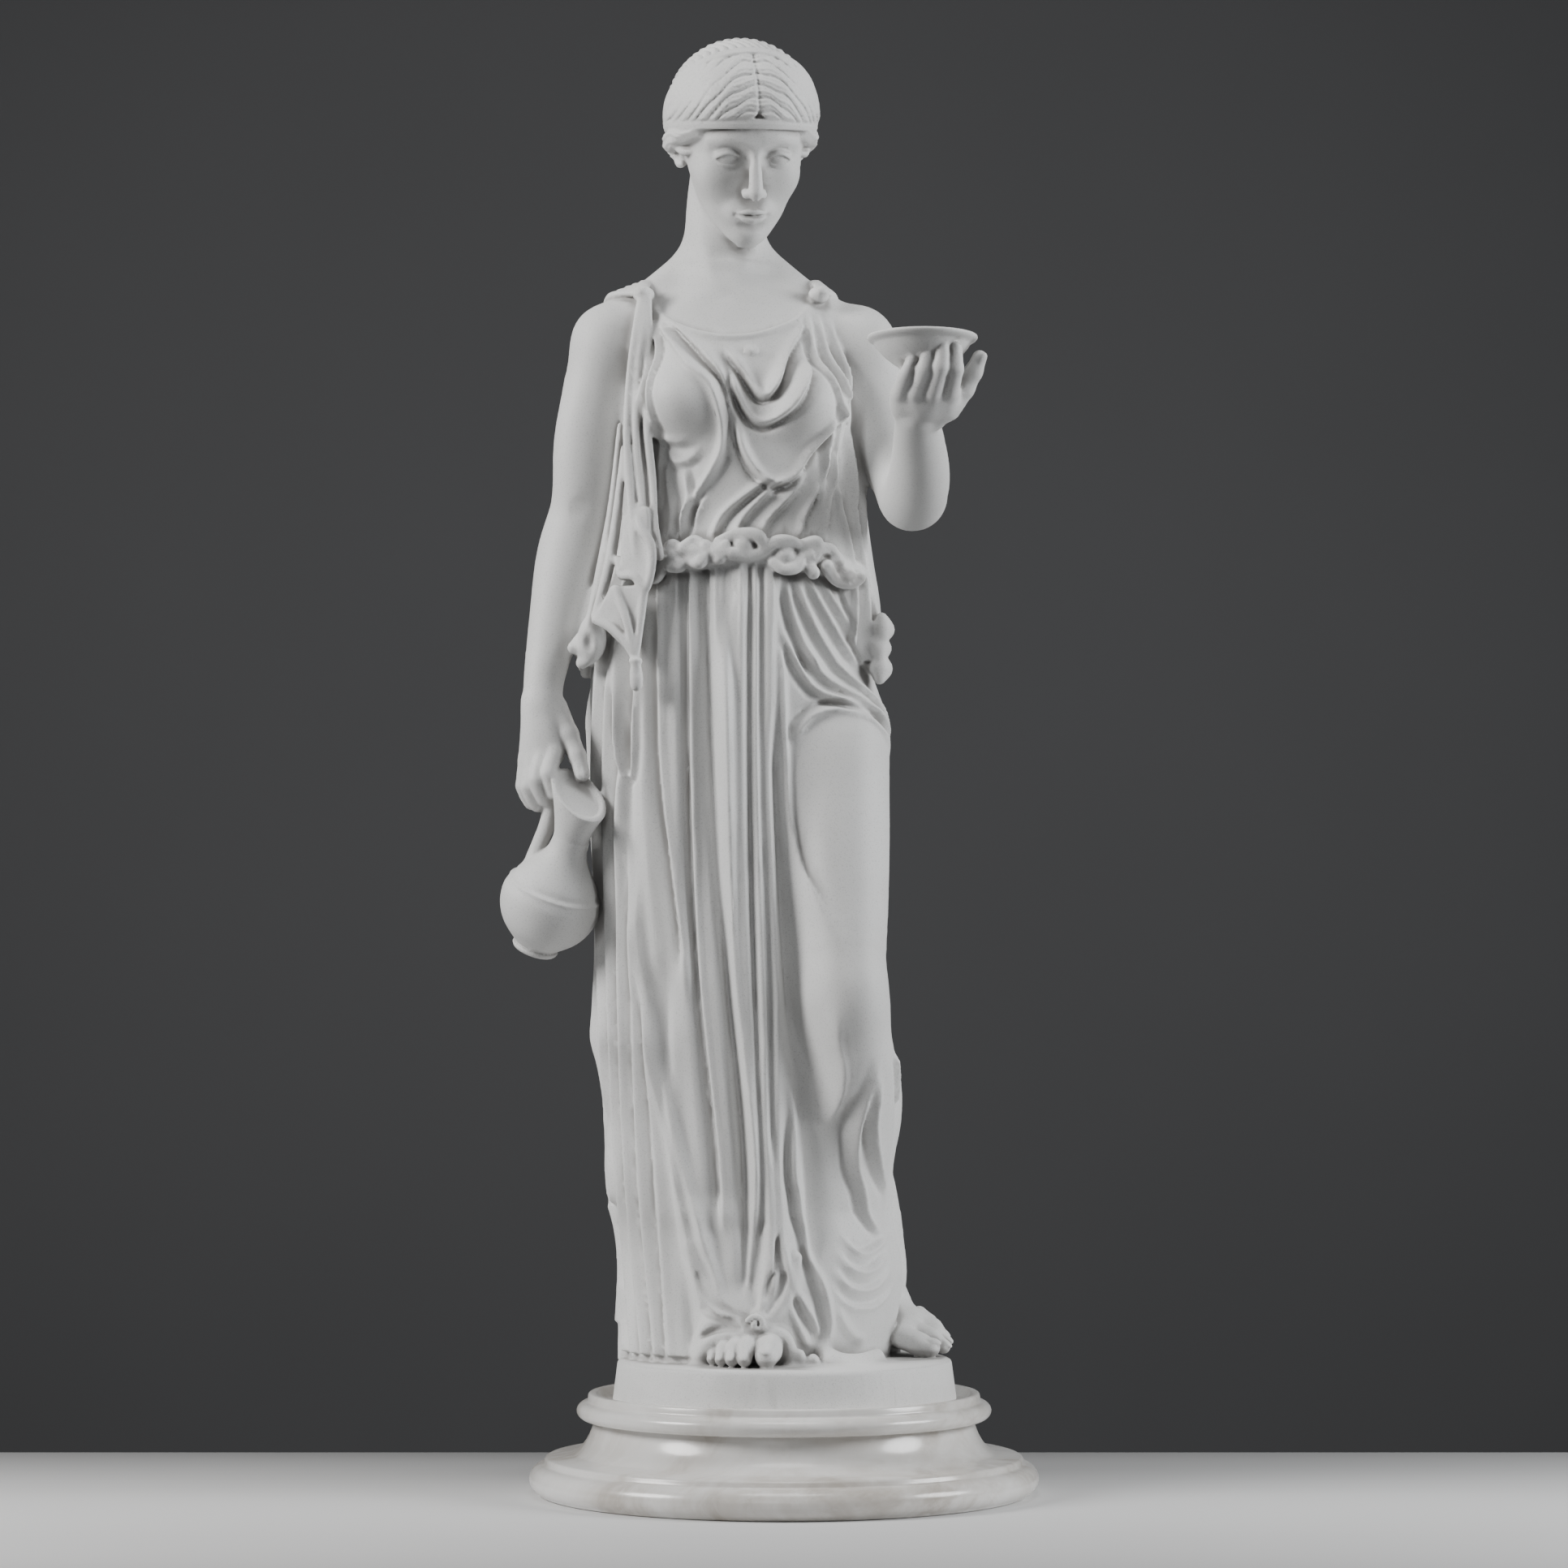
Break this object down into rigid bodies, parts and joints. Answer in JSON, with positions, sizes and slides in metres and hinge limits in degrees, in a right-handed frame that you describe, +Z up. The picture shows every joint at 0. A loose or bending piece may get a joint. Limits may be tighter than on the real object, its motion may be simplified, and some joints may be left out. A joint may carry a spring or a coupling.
{
  "type": "marble statue",
  "caption": "Standing draped cup-bearer in white marble with a hanging jug and a raised bowl, on a turned alabaster base.",
  "frame": {"origin": "centre of the round base's underside", "axes": "+Z up, the figure faces -Y, and its right hand with the jug is on the -X side"},
  "size_m": [0.2582, 0.2603, 0.7006],
  "materials": {
    "marble": "matte white cast marble with a fine grain",
    "alabaster": "polished white alabaster with cloudy brown-grey veins"
  },
  "bodies": {
    "root": {"figure": "marble", "base": "alabaster"}
  },
  "joints": []
}
